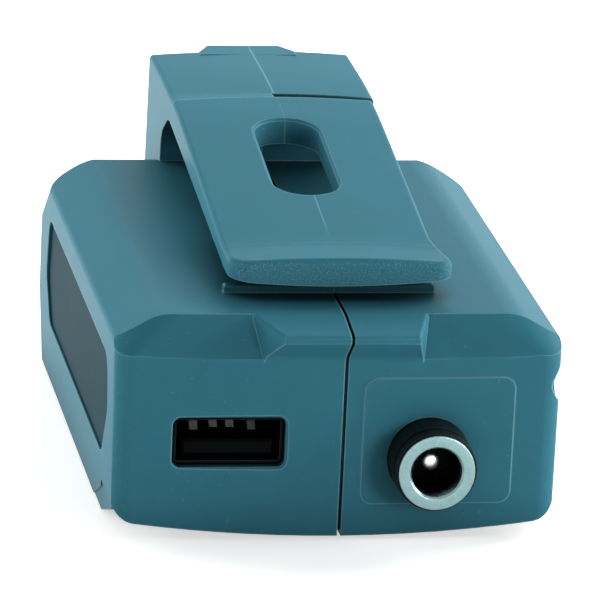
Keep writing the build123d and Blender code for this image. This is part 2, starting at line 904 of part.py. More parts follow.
def jack_nut():
    start = wall + washer_thickness
    hexagon = RegularPolygon(nut_across / 2, 6, major_radius=False)
    nut = Pos(jack_x, start, jack_z) * Rot(-90, 0, 0) * extrude(hexagon, nut_thickness)
    return nut - rod_y(jack_x, jack_z, neck_radius + screw_thread_fit, 0, far)


def jack_washer():
    ring = rod_y(jack_x, jack_z, washer_radius, wall, wall + washer_thickness)
    return ring - rod_y(jack_x, jack_z, neck_radius + neck_gap, 0, far)


def tag_plates():
    plates = []
    for side in (-1, 1):
        middle = jack_x + side * tag_offset
        plates.append(block(middle - tag_thickness / 2, middle + tag_thickness / 2,
                            jack_tail_length - 2, jack_tail_length + tag_length,
                            jack_z - tag_width / 2, jack_z + tag_width / 2))
    return plates


def lead_route(side):
    x = jack_x + side * tag_offset
    start = jack_tail_length + tag_length
    end = front_block_length + wall
    return [(x, start, jack_z), (x, start + lead_straight, jack_z), (x, end, board_low - lead_rise),
            (x, end, board_low)]


def jack_leads():
    leads = []
    for side in (-1, 1):
        points = lead_route(side)
        path = FilletPolyline(*points, radius=lead_bend)
        section = Plane(origin=points[0], z_dir=(0, 1, 0)) * Circle(lead_radius)
        leads.append(sweep(section, path=path))
    return Compound(leads)


# Board and what is on it

def circuit_board():
    half = board_width / 2
    start = front_block_length - wall + 0.5
    plan = Polyline((-half, board_start), (board_tab_right, board_start), (board_tab_right, start),
                    (half, start), (half, board_end), (-half, board_end), close=True)
    board = extrude(make_face(plan), board_thickness)
    board = Pos(0, 0, board_low) * fillet(board.edges().filter_by(Axis.Z), board_corner)
    for side in (-1, 1):
        board -= rod_z(side * standoff_x, standoff_y, board_screw_radius + screw_clear, 0, far)
    for side in (-1, 1):
        middle = side * blade_spacing / 2
        half_slot = blade_thickness / 2 + blade_hole_gap
        y_start = front_block_length + blade_from_front
        board -= block(middle - half_slot, middle + half_slot, y_start - blade_hole_gap,
                       y_start + blade_tail + blade_hole_gap, 0, far)
    hole_gap = 0.1
    back = usb_setback + usb_shell_depth + contact_thickness
    for pitch in contact_pitches:
        left = usb_x + pitch - contact_width / 2
        board -= block(left - hole_gap, left + contact_width + hole_gap,
                       back - contact_thickness - hole_gap, back + hole_gap, 0, far)
    return board


def board_screws():
    screws = []
    for side in (-1, 1):
        x = side * standoff_x
        shank = rod_z(x, standoff_y, board_screw_radius, board_top - board_screw_length, board_top)
        head = rod_z(x, standoff_y, board_screw_head, board_top, board_top + board_screw_head_height)
        head = chamfer(head.edges().group_by(Axis.Z)[-1], board_screw_chamfer)
        screws.append(shank + head)
    return Compound(screws)


def inductor_core():
    core = rod_z(core_x, core_y, core_radius, board_top, board_top + core_flange)
    core += rod_z(core_x, core_y, core_post_radius, board_top, board_top + core_height)
    return core + rod_z(core_x, core_y, core_radius, board_top + core_height - core_flange,
                        board_top + core_height)


def inductor_winding():
    low = board_top + core_flange
    high = board_top + core_height - core_flange
    ring = chamfer(rod_z(core_x, core_y, winding_radius, low, high).edges(), winding_chamfer)
    return ring - rod_z(core_x, core_y, core_post_radius, 0, far)


def capacitors():
    cans = []
    for from_end in capacitor_from_end:
        y = board_end - from_end
        can = rod_z(capacitor_x, y, capacitor_radius, board_top, capacitor_top)
        can = chamfer(can.edges().group_by(Axis.Z)[-1], capacitor_chamfer)
        bead = rod_z(capacitor_x, y, far, board_top + capacitor_bead, board_top + 2 * capacitor_bead)
        bead -= rod_z(capacitor_x, y, capacitor_radius - capacitor_bead_depth, 0, far)
        cans.append(can - bead)
    return Compound(cans)


def converter_chip():
    lift = 0.15
    body = block(chip_x - chip_width / 2, chip_x + chip_width / 2, chip_y - chip_length / 2,
                 chip_y + chip_length / 2, board_top + lift, board_top + chip_height)
    body = chamfer(body.edges().group_by(Axis.Z)[-1], 0.25)
    for place in range(chip_legs):
        y = chip_y + (place - (chip_legs - 1) / 2) * chip_pitch
        for side in (-1, 1):
            inner = chip_x + side * (chip_width / 2 - 0.2)
            outer = chip_x + side * (chip_width / 2 + 1)
            low, high = sorted((inner, outer))
            foot_low, foot_high = sorted((outer - side * 0.6, outer))
            body += block(low, high, y - 0.2, y + 0.2, board_top + 0.6, board_top + 0.8)
            body += block(foot_low, foot_high, y - 0.2, y + 0.2, board_top, board_top + 0.8)
    return body


def rectifier_diode():
    body = block(diode_x - diode_length / 2, diode_x + diode_length / 2, diode_y - diode_width / 2,
                 diode_y + diode_width / 2, board_top, board_top + diode_height)
    body = chamfer(body.edges().group_by(Axis.Z)[-1], 0.3)
    reach = diode_length / 2 + 0.6
    return body + block(diode_x - reach, diode_x + reach, diode_y - 1.5, diode_y + 1.5,
                        board_top, board_top + 0.4)


def fuse():
    start = fuse_y - fuse_length / 2
    end = fuse_y + fuse_length / 2
    z = board_top + fuse_radius
    body = rod_y(fuse_x, z, fuse_radius - 0.15, start, end)
    return body + rod_y(fuse_x, z, fuse_radius, start, start + fuse_cap) + rod_y(
        fuse_x, z, fuse_radius, end - fuse_cap, end)


# Battery terminals

def blade(side):
    middle = side * blade_spacing / 2
    left = middle - blade_thickness / 2
    start = front_block_length + blade_from_front
    high = blade_low + blade_height
    plate = block(left, left + blade_thickness, start, start + blade_reach, blade_low, high)
    nose = plate.edges().filter_by(Axis.Z).group_by(Axis.Y)[-1]
    plate = chamfer(nose, blade_thickness * 0.3)
    return plate + block(left, left + blade_thickness, start, start + blade_tail, blade_low,
                         board_top + blade_above_board)


def terminal_blades():
    return Compound([blade(-1), blade(1)])


def terminal_block():
    start = front_block_length
    half = block_width / 2
    body = block(-half, half, start, start + block_depth, block_low, channel_height)
    body = fillet(body.edges().filter_by(Axis.Z).group_by(Axis.Y)[-1], block_corner)
    spigot_start = start + spigot_from_front
    half_spigot = spigot_width / 2
    body += block(-half_spigot, half_spigot, spigot_start, spigot_start + spigot_depth,
                  channel_height - 1, roof_height)
    body += block(-half_spigot - spigot_lip, half_spigot + spigot_lip, spigot_start - spigot_lip,
                  spigot_start + spigot_depth + spigot_lip, roof_height, roof_height + spigot_flange)
    slot_start = start + blade_from_front + blade_tail
    for side in (-1, 1):
        middle = side * blade_spacing / 2
        body -= block(middle - blade_slot / 2, middle + blade_slot / 2, slot_start, far, -1,
                      blade_low + blade_height + 0.3)
    body -= block(-plug_slot_width / 2, plug_slot_width / 2, slot_start, far,
                  blade_low, blade_low + plug_slot_height)
    return body - blade(-1) - blade(1)


def all_nodes():
    left, right = housing_halves()
    return {
        "left_housing": left,
        "right_housing": right,
        "belt_clip": belt_clip(),
        "side_label": side_label(),
        "housing_screws": housing_screws(),
        "usb_shell": usb_shell(),
        "usb_tongue": usb_tongue(),
        "usb_contacts": Compound(contact_strips()),
        "jack_body": jack_body(),
        "jack_sleeve": jack_sleeve(),
        "jack_pin": jack_pin(),
        "jack_nut": jack_nut(),
        "jack_washer": jack_washer(),
        "jack_tags": Compound(tag_plates()),
        "jack_leads": jack_leads(),
        "circuit_board": circuit_board(),
        "board_screws": board_screws(),
        "inductor_core": inductor_core(),
        "inductor_winding": inductor_winding(),
        "capacitors": capacitors(),
        "converter_chip": converter_chip(),
        "rectifier_diode": rectifier_diode(),
        "fuse": fuse(),
        "terminal_block": terminal_block(),
        "terminal_blades": terminal_blades(),
    }


for name, shape in all_nodes().items():
    save(name, shape)
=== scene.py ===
import math

import bmesh
import bpy
import numpy as np
from mathutils import Matrix, Vector


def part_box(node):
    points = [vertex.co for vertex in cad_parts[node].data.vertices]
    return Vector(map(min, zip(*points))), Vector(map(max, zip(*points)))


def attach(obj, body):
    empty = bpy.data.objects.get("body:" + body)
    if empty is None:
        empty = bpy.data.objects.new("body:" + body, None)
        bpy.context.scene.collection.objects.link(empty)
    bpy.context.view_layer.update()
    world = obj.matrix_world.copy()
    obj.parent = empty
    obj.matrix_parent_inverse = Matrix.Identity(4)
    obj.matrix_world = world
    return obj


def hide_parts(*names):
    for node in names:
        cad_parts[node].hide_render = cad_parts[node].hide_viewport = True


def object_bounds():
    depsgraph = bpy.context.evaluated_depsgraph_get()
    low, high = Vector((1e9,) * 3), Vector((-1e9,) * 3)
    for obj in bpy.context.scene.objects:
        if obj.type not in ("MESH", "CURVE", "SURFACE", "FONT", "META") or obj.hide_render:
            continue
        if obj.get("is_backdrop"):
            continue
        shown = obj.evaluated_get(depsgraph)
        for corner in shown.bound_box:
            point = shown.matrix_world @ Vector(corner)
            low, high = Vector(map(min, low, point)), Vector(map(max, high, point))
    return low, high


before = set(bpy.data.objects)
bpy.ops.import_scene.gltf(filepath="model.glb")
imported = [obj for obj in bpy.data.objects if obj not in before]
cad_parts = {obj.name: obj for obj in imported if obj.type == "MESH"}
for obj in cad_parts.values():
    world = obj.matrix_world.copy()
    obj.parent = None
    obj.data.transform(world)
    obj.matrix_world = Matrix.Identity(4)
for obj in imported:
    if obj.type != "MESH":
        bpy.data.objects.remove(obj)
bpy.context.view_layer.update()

print("stage: frame loaded", len(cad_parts), "nodes")


def addNode(tree, kind, **settings):
    node = tree.nodes.new(kind)
    for name, value in settings.items():
        setattr(node, name, value)
    return node


def setInput(tree, node, name, value):
    # a socket takes a link, everything else is a fixed number or colour
    if isinstance(value, bpy.types.NodeSocket):
        tree.links.new(value, node.inputs[name])
    else:
        node.inputs[name].default_value = value


def mathNode(tree, operation, first, second=None, clamp=False):
    node = addNode(tree, "ShaderNodeMath", operation=operation, use_clamp=clamp)
    setInput(tree, node, 0, first)
    if second is not None:
        setInput(tree, node, 1, second)
    return node.outputs[0]


def added(tree, first, second):
    return mathNode(tree, "ADD", first, second)


def multiplied(tree, first, second):
    return mathNode(tree, "MULTIPLY", first, second)


def scaledColor(tree, color, factor):
    node = addNode(tree, "ShaderNodeVectorMath", operation="SCALE")
    setInput(tree, node, 0, color)
    setInput(tree, node, "Scale", factor)
    return node.outputs[0]


def mixColor(tree, factor, first, second):
    node = addNode(tree, "ShaderNodeMix", data_type="RGBA")
    setInput(tree, node, 0, factor)
    setInput(tree, node, 6, first)
    setInput(tree, node, 7, second)
    return node.outputs[2]


def rampNode(tree, value, low, high, fromValue=0.0, toValue=1.0):
    # a smooth step from fromValue at low to toValue at high
    node = addNode(tree, "ShaderNodeMapRange", interpolation_type="SMOOTHSTEP", clamp=True)
    setInput(tree, node, "Value", value)
    setInput(tree, node, "From Min", low)
    setInput(tree, node, "From Max", high)
    setInput(tree, node, "To Min", fromValue)
    setInput(tree, node, "To Max", toValue)
    return node.outputs["Result"]


def noiseNode(tree, place, scale, detail, roughness=0.5):
    node = addNode(tree, "ShaderNodeTexNoise")
    setInput(tree, node, "Vector", place)
    setInput(tree, node, "Scale", scale)
    setInput(tree, node, "Detail", detail)
    setInput(tree, node, "Roughness", roughness)
    return node.outputs["Fac"]


def objectPlace(tree):
    return addNode(tree, "ShaderNodeTexCoord").outputs["Object"]


def placeParts(tree):
    # the object's own X, Y and Z, one by one
    node = addNode(tree, "ShaderNodeSeparateXYZ")
    setInput(tree, node, 0, objectPlace(tree))
    return node.outputs


def newGroup(name, inputs, outputs):
    # inputs and outputs are (name, kind, default) and (name, kind)
    group = bpy.data.node_groups.new(name, "ShaderNodeTree")
    for label, kind, default in inputs:
        socket = group.interface.new_socket(label, in_out="INPUT", socket_type=kind)
        socket.default_value = default
    for label, kind in outputs:
        group.interface.new_socket(label, in_out="OUTPUT", socket_type=kind)
    return group, addNode(group, "NodeGroupInput").outputs, addNode(group, "NodeGroupOutput").inputs


def useGroup(tree, group, **values):
    node = addNode(tree, "ShaderNodeGroup", node_tree=group)
    for name, value in values.items():
        setInput(tree, node, name, value)
    return node.outputs


# each noise is (scale, detail, roughness); shares and swings are plain factors
grainPattern = {
    "broad": (55.0, 3.0, 0.5), "cloud": (420.0, 4.0, 0.6), "fine": (5200.0, 2.0, 0.6),
    "speck": (2600.0, 0.0, 0.4), "coarse": (2300.0, 3.0, 0.7),
    "broadShare": 0.6, "cloudShare": 0.4, "toneSwing": 4.0,
    "speckFrom": 0.80, "speckTo": 0.86,
    "glossSwing": 1.6, "glossGrain": 0.10,
    "fineHeight": 0.25, "cloudHeight": 0.2,
}


def buildMouldGrain(size):
    # broad mottle, fine grain and sparse pale flecks, as on a satin moulded part
    group, given, out = newGroup(
        "mouldGrain",
        [("Color", "NodeSocketColor", (0.5, 0.5, 0.5, 1)),
         ("Pale", "NodeSocketColor", (0.8, 0.8, 0.8, 1)),
         ("Mottle", "NodeSocketFloat", 0.08), ("Flecks", "NodeSocketFloat", 0.3),
         ("Roughness", "NodeSocketFloat", 0.45), ("Coarse", "NodeSocketFloat", 0.0)],
        [("Color", "NodeSocketColor"), ("Roughness", "NodeSocketFloat"), ("Height", "NodeSocketFloat")],
    )
    place = objectPlace(group)
    broad, cloud, fine, speck, coarse = (
        noiseNode(group, place, *size[name]) for name in ("broad", "cloud", "fine", "speck", "coarse"))
    shade = added(group, multiplied(group, broad, size["broadShare"]),
                  multiplied(group, cloud, size["cloudShare"]))
    shade = multiplied(group, mathNode(group, "SUBTRACT", shade, 0.5), given["Mottle"])
    tone = added(group, multiplied(group, shade, size["toneSwing"]), 1.0)
    fleckMask = rampNode(group, speck, size["speckFrom"], size["speckTo"])
    fleckMask = multiplied(group, fleckMask, given["Flecks"])
    color = mixColor(group, fleckMask, scaledColor(group, given["Color"], tone), given["Pale"])
    group.links.new(color, out["Color"])
    grit = multiplied(group, mathNode(group, "SUBTRACT", fine, 0.5), size["glossGrain"])
    gloss = added(group, given["Roughness"], multiplied(group, shade, size["glossSwing"]))
    group.links.new(added(group, gloss, grit), out["Roughness"])
    height = added(group, multiplied(group, fine, size["fineHeight"]),
                   multiplied(group, cloud, size["cloudHeight"]))
    height = added(group, height, multiplied(group, coarse, given["Coarse"]))
    group.links.new(height, out["Height"])
    return group


def buildSoftEdge():
    # the normal rounded over a small radius, and a mask that is 1 on edges and 0 on flat faces
    group, given, out = newGroup(
        "softEdge",
        [("Radius", "NodeSocketFloat", 0.0002), ("Width", "NodeSocketFloat", 0.12)],
        [("Normal", "NodeSocketVector"), ("Mask", "NodeSocketFloat")],
    )
    bevel = addNode(group, "ShaderNodeBevel", samples=6)
    setInput(group, bevel, "Radius", given["Radius"])
    flat = addNode(group, "ShaderNodeNewGeometry").outputs["Normal"]
    dot = addNode(group, "ShaderNodeVectorMath", operation="DOT_PRODUCT")
    setInput(group, dot, 0, bevel.outputs["Normal"])
    setInput(group, dot, 1, flat)
    bent = mathNode(group, "SUBTRACT", 1.0, dot.outputs["Value"], clamp=True)
    group.links.new(bevel.outputs["Normal"], out["Normal"])
    group.links.new(mathNode(group, "DIVIDE", bent, given["Width"], clamp=True), out["Mask"])
    return group


turnedPattern = {
    "lineDetail": 2.0, "lineGloss": 0.06,
    "smudge": (900.0, 3.0, 0.6), "smudgeFrom": 0.45, "smudgeTo": 0.75,
    "smudgeMost": 0.55, "smudgeGloss": 0.18,
}


def buildTurnedMetal(size):
    # fine rings around a y axis at (X, Z), with a slow tint, for turned and plated metal
    group, given, out = newGroup(
        "turnedMetal",
        [("Color", "NodeSocketColor", (0.7, 0.7, 0.7, 1)),
         ("Dull", "NodeSocketColor", (0.3, 0.3, 0.3, 1)),
         ("Roughness", "NodeSocketFloat", 0.25), ("Rings", "NodeSocketFloat", 9000.0),
         ("X", "NodeSocketFloat", 0.0), ("Z", "NodeSocketFloat", 0.0)],
        [("Color", "NodeSocketColor"), ("Roughness", "NodeSocketFloat"), ("Height", "NodeSocketFloat")],
    )
    parts = placeParts(group)
    across = mathNode(group, "SUBTRACT", parts["X"], given["X"])
    above = mathNode(group, "SUBTRACT", parts["Z"], given["Z"])
    square = added(group, multiplied(group, across, across), multiplied(group, above, above))
    line = addNode(group, "ShaderNodeTexNoise", noise_dimensions="1D")
    setInput(group, line, "W", mathNode(group, "SQRT", square))
    setInput(group, line, "Scale", given["Rings"])
    setInput(group, line, "Detail", size["lineDetail"])
    smudge = noiseNode(group, objectPlace(group), *size["smudge"])
    dullMask = rampNode(group, smudge, size["smudgeFrom"], size["smudgeTo"], 0.0, size["smudgeMost"])
    group.links.new(mixColor(group, dullMask, given["Color"], given["Dull"]), out["Color"])
    gloss = added(group, given["Roughness"], multiplied(group, dullMask, size["smudgeGloss"]))
    gloss = added(group, gloss, multiplied(group, line.outputs["Fac"], size["lineGloss"]))
    group.links.new(gloss, out["Roughness"])
    group.links.new(line.outputs["Fac"], out["Height"])
    return group


mouldGrain = buildMouldGrain(grainPattern)
softEdge = buildSoftEdge()
turnedMetal = buildTurnedMetal(turnedPattern)
print("stage: shared effects built")


def newMaterial(name):
    material = bpy.data.materials.new(name)
    material.use_nodes = True
    tree = material.node_tree
    return material, tree, tree.nodes["Principled BSDF"]


def joinBump(tree, shader, height, normal, strength, distance):
    bump = addNode(tree, "ShaderNodeBump")
    setInput(tree, bump, "Height", height)
    setInput(tree, bump, "Normal", normal)
    setInput(tree, bump, "Strength", strength)
    setInput(tree, bump, "Distance", distance)
    tree.links.new(bump.outputs["Normal"], shader.inputs["Normal"])


hollowRamp = {"closed": 0.12, "open": 0.82, "samples": 8}


def hollowShade(tree, color, look):
    # painted shade: close corners and gaps are darker than open faces, down to hollowTone
    shade = addNode(tree, "ShaderNodeAmbientOcclusion", samples=hollowRamp["samples"])
    setInput(tree, shade, "Distance", look["hollowReach"])
    tone = rampNode(tree, shade.outputs["AO"], hollowRamp["closed"], hollowRamp["open"],
                    look["hollowTone"], 1.0)
    return scaledColor(tree, color, tone)


tealShell = {
    "color": (0.031, 0.144, 0.192, 1),
    "pale": (0.24, 0.49, 0.55, 1),
    "roughness": 0.38,
    "edgeRoughness": 0.26,
    "specular": 0.027,
    "mottle": 0.07,
    "flecks": 0.12,
    "edgeRadius": 0.00027,
    "edgeWidth": 0.12,
    "paintedEdgeHighlight": 0.66,
    "hollowTone": 0.12,
    "hollowReach": 0.011,
    "bump": 0.35,
    "bumpDistance": 0.00002,
}
# the faint raised line that the mould left along the clip's middle, bumped, and tinted lighter as a painted
# highlight
mouldLineAndGlint = {"x": 0.0006, "width": 0.00022, "leastWidth": 0.4, "wander": (160.0, 1.0),
             "lowZ": 0.0325, "lowBlend": 0.001, "fadeZ": 0.0355, "fadeBlend": 0.003, "fadeTo": 0.18,
             "tint": 0.28, "height": 3.0}
# the coarse grain on the lip's front edge
lipGrain = {"frontY": -0.0312, "ahead": 0.0006, "behind": 0.0004, "topZ": 0.0322, "topBlend": 0.0003,
            "height": 2.5, "noise": (5200.0, 2.0, 0.7), "from": 0.46, "to": 0.72, "tint": 0.30}


def lipMask(tree, parts):
    front = rampNode(tree, parts["Y"], lipGrain["frontY"] - lipGrain["ahead"],
                     lipGrain["frontY"] + lipGrain["behind"], 1.0, 0.0)
    below = rampNode(tree, parts["Z"], lipGrain["topZ"] - lipGrain["topBlend"],
                     lipGrain["topZ"] + lipGrain["topBlend"], 1.0, 0.0)
    return multiplied(tree, front, below)


def lineMask(tree, place, parts, seam):
    away = mathNode(tree, "ABSOLUTE", mathNode(tree, "SUBTRACT", parts["X"], seam["x"]))
    wander = multiplied(tree, noiseNode(tree, place, *seam["wander"]), seam["width"])
    reach = added(tree, wander, seam["width"] * seam["leastWidth"])
    line = rampNode(tree, away, 0.0, reach, 1.0, 0.0)
    high = rampNode(tree, parts["Z"], seam["lowZ"], seam["lowZ"] + seam["lowBlend"])
    faded = rampNode(tree, parts["Z"], seam["fadeZ"], seam["fadeZ"] + seam["fadeBlend"],
                     1.0, seam["fadeTo"])
    return multiplied(tree, multiplied(tree, line, high), faded)


def buildTeal(name, look, coarseFront):
    material, tree, shader = newMaterial(name)
    place = objectPlace(tree)
    parts = placeParts(tree)
    frontMask = lipMask(tree, parts) if coarseFront else None
    coarse = multiplied(tree, frontMask, lipGrain["height"]) if coarseFront else 0.0
    grain = useGroup(tree, mouldGrain, Color=look["color"], Pale=look["pale"], Mottle=look["mottle"],
                     Flecks=look["flecks"], Roughness=look["roughness"], Coarse=coarse)
    edge = useGroup(tree, softEdge, Radius=look["edgeRadius"], Width=look["edgeWidth"])
    # painted highlight: edges are mixed towards the pale colour
    color = mixColor(tree, multiplied(tree, edge["Mask"], look["paintedEdgeHighlight"]), grain["Color"], look["pale"])
    if coarseFront:
        sparkle = noiseNode(tree, place, *lipGrain["noise"])
        sparkle = rampNode(tree, sparkle, lipGrain["from"], lipGrain["to"])
        sparkle = multiplied(tree, multiplied(tree, sparkle, frontMask), lipGrain["tint"])
        color = mixColor(tree, sparkle, color, look["pale"])
    line = lineMask(tree, place, parts, mouldLineAndGlint)
    # painted highlight: the mould line is tinted towards the pale colour
    color = mixColor(tree, multiplied(tree, line, mouldLineAndGlint["tint"]), color, look["pale"])
    height = added(tree, grain["Height"], multiplied(tree, line, mouldLineAndGlint["height"]))
    # painted shade in corners and gaps darkens the base colour
    tree.links.new(hollowShade(tree, color, look), shader.inputs["Base Color"])
    drop = multiplied(tree, edge["Mask"], look["edgeRoughness"] - look["roughness"])
    tree.links.new(added(tree, grain["Roughness"], drop), shader.inputs["Roughness"])
    shader.inputs["Specular IOR Level"].default_value = look["specular"]
    joinBump(tree, shader, height, edge["Normal"], look["bump"], look["bumpDistance"])
    return material


shellMaterial = buildTeal("tealShell", tealShell, coarseFront=False)
clipMaterial = buildTeal("tealClip", tealShell, coarseFront=True)
print("stage: teal built")

# what a grained finish has where it names nothing else
plainLook = {"mottle": 0.08, "flecks": 0.2, "edgeRadius": 0.00012, "edgeWidth": 0.12, "paintedEdgeHighlight": 0.3,
             "specular": 0.5, "metallic": 0.0, "bump": 0.3, "bumpDistance": 0.00002,
             "hollowTone": 0.30, "hollowReach": 0.009}


def buildGrained(name, ownLook):
    # one grained plastic or coated finish, with softened edges that carry a painted highlight
    look = {**plainLook, **ownLook}
    material, tree, shader = newMaterial(name)
    grain = useGroup(tree, mouldGrain, Color=look["color"], Pale=look["pale"], Mottle=look["mottle"],
                     Flecks=look["flecks"], Roughness=look["roughness"])
    edge = useGroup(tree, softEdge, Radius=look["edgeRadius"], Width=look["edgeWidth"])
    # painted highlight: edges are mixed towards the pale colour
    color = mixColor(tree, multiplied(tree, edge["Mask"], look["paintedEdgeHighlight"]), grain["Color"], look["pale"])
    # painted shade in corners and gaps darkens the base colour
    tree.links.new(hollowShade(tree, color, look), shader.inputs["Base Color"])
    tree.links.new(grain["Roughness"], shader.inputs["Roughness"])
    shader.inputs["Specular IOR Level"].default_value = look["specular"]
    shader.inputs["Metallic"].default_value = look["metallic"]
    joinBump(tree, shader, grain["Height"], edge["Normal"], look["bump"], look["bumpDistance"])
    return material


grainedLooks = {
    "barePlate": {
        "color": (0.014, 0.042, 0.052, 1), "pale": (0.05, 0.10, 0.115, 1), "roughness": 0.55,
        "mottle": 0.12, "flecks": 0.10, "specular": 0.015, "edgeRadius": 0.00008, "bump": 0.2},
    "blackMould": {
        "color": (0.003, 0.0045, 0.0055, 1), "pale": (0.02, 0.028, 0.034, 1), "roughness": 0.36,
        "mottle": 0.10, "flecks": 0.25, "specular": 0.08, "edgeRadius": 0.00015, "paintedEdgeHighlight": 0.6},
    # black plastic, darkened further as painted shade deep in the socket
    "shadedTongueMould": {
        "color": (0.0014, 0.0022, 0.0026, 1), "pale": (0.014, 0.019, 0.022, 1), "roughness": 0.5,
        "specular": 0.02, "edgeRadius": 0.0001, "paintedEdgeHighlight": 0.5},
    "blockMould": {
        "color": (0.012, 0.012, 0.013, 1), "pale": (0.06, 0.06, 0.065, 1), "roughness": 0.5},
    # steel painted near black, as painted shade inside the socket opening
    "shadedSheetSteel": {
        "color": (0.0035, 0.005, 0.006, 1), "pale": (0.10, 0.13, 0.14, 1), "roughness": 0.42,
        "metallic": 1.0, "mottle": 0.12, "edgeRadius": 0.00006, "paintedEdgeHighlight": 0.5},
    "zincSteel": {
        "color": (0.42, 0.42, 0.41, 1), "pale": (0.66, 0.66, 0.64, 1), "roughness": 0.34,
        "metallic": 1.0, "mottle": 0.14, "edgeRadius": 0.00012, "paintedEdgeHighlight": 0.5},
    "contactPlate": {
        "color": (0.34, 0.36, 0.35, 1), "pale": (0.62, 0.64, 0.62, 1), "roughness": 0.34,
        "metallic": 0.75, "mottle": 0.10, "edgeRadius": 0.00006, "hollowTone": 1.0},
    "bladePlate": {
        "color": (0.58, 0.46, 0.26, 1), "pale": (0.86, 0.76, 0.50, 1), "roughness": 0.30,
        "metallic": 1.0, "mottle": 0.12, "edgeRadius": 0.00008},
    "boardMask": {
        "color": (0.010, 0.105, 0.040, 1), "pale": (0.05, 0.24, 0.11, 1), "roughness": 0.28,
        "mottle": 0.16, "flecks": 0.3, "edgeRadius": 0.00008},
    "ferriteBody": {
        "color": (0.028, 0.028, 0.031, 1), "pale": (0.10, 0.10, 0.105, 1), "roughness": 0.62,
        "mottle": 0.2, "flecks": 0.5},
    "redLead": {
        "color": (0.30, 0.020, 0.014, 1), "pale": (0.50, 0.10, 0.08, 1), "roughness": 0.40},
    "ceramicFuse": {
        "color": (0.70, 0.68, 0.62, 1), "pale": (0.86, 0.85, 0.82, 1), "roughness": 0.35, "mottle": 0.06},
    "canMetal": {
        "color": (0.60, 0.61, 0.62, 1), "pale": (0.82, 0.83, 0.84, 1), "roughness": 0.28, "metallic": 1.0},
    "copperWire": {
        "color": (0.52, 0.17, 0.055, 1), "pale": (0.82, 0.42, 0.20, 1), "roughness": 0.28, "metallic": 1.0},
}
grained = {name: buildGrained(name, look) for name, look in grainedLooks.items()}

# x and z are the round outlet's axis
turnedLook = {"x": 0.011, "z": 0.0101, "edgeWidth": 0.1, "bump": 0.12, "bumpDistance": 0.00001}
nickelPin = {"color": (0.80, 0.83, 0.82, 1), "dull": (0.50, 0.54, 0.55, 1), "roughness": 0.30,
             "rings": 12000.0, "edgeRadius": 0.00010}
# bright on the flange, and darkened down the bore as painted shade, from darkFrom to darkTo behind the
# front
nickelRing = {"color": (0.21, 0.335, 0.342, 1), "dull": (0.14, 0.24, 0.25, 1), "roughness": 0.24,
              "rings": 9000.0, "edgeRadius": 0.00012, "dark": (0.012, 0.013, 0.014, 1),
              "darkFrom": 0.0002, "darkTo": 0.0022}


def buildTurned(name, ownLook):
    look = {**turnedLook, **ownLook}
    material, tree, shader = newMaterial(name)
    metal = useGroup(tree, turnedMetal, Color=look["color"], Dull=look["dull"], Roughness=look["roughness"],
                     Rings=look["rings"], X=look["x"], Z=look["z"])
    edge = useGroup(tree, softEdge, Radius=look["edgeRadius"], Width=look["edgeWidth"])
    color = metal["Color"]
    # painted shade down the bore: the colour darkens with depth behind the front
    if "dark" in look:
        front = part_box("jack_sleeve")[0][1]
        boreShadeMask = rampNode(tree, placeParts(tree)["Y"], front + look["darkFrom"], front + look["darkTo"])
        color = mixColor(tree, boreShadeMask, color, look["dark"])
    tree.links.new(color, shader.inputs["Base Color"])
    tree.links.new(metal["Roughness"], shader.inputs["Roughness"])
    shader.inputs["Metallic"].default_value = 1.0
    joinBump(tree, shader, metal["Height"], edge["Normal"], look["bump"], look["bumpDistance"])
    return material


pinMaterial = buildTurned("nickelPin", nickelPin)
ringMaterial = buildTurned("nickelRing", nickelRing)
print("stage: materials built", len(bpy.data.materials))


def linkObject(name, data):
    thing = bpy.data.objects.new(name, data)
    bpy.context.scene.collection.objects.link(thing)
    return thing


def newPiece(name, points, faces):
    mesh = bpy.data.meshes.new(name)
    mesh.from_pydata(points.tolist(), [], faces)
    mesh.validate()
    return linkObject(name, mesh)


def meshPoints(mesh):
    points = np.empty(len(mesh.vertices) * 3)
    mesh.vertices.foreach_get("co", points)
    return points.reshape(-1, 3)


def smoothPiece(piece, sharpDegrees):
    mesh = piece.data
    mesh.polygons.foreach_set("use_smooth", np.ones(len(mesh.polygons), dtype=bool))
    mesh.set_sharp_from_angle(angle=math.radians(sharpDegrees))


def finishPiece(piece, material, body, node):
    piece.data.materials.append(material)
    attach(piece, body)
    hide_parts(node)


mergeCells = 1e7  # cells a metre, corners in one cell become one


def mergedCopy(nodeName, pieceName):
    # the node's loose triangles, joined where their corners meet
    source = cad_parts[nodeName].data
    points = meshPoints(source)
    corners = np.empty(len(source.loops), dtype=np.int32)
    source.loops.foreach_get("vertex_index", corners)
    keys = np.round(points * mergeCells).astype(np.int64)
    first, index = np.unique(keys, axis=0, return_index=True, return_inverse=True)[1:]
    faces = index.reshape(-1)[corners].reshape(-1, 3)
    whole = (faces[:, 0] != faces[:, 1]) & (faces[:, 1] != faces[:, 2]) & (faces[:, 2] != faces[:, 0])
    return newPiece(pieceName, points[first], faces[whole].tolist())


# slope is how much the top's slope changes at the crease, crest its height there
# only the layer down to depth follows in full, and the share fades out over blend below it
clipBends = {
    "arm": {"crease": 0.0229, "reach": 0.012, "cuts": 17, "slope": -0.1266, "crest": 0.0385},
    "lip": {"crease": -0.0253, "reach": 0.0026, "cuts": 9, "slope": 0.1266, "crest": 0.0324},
    "depth": 0.0011,
    "blend": 0.0006,
    "cutAbove": 0.030,
    "cutSlack": 1e-7,
}


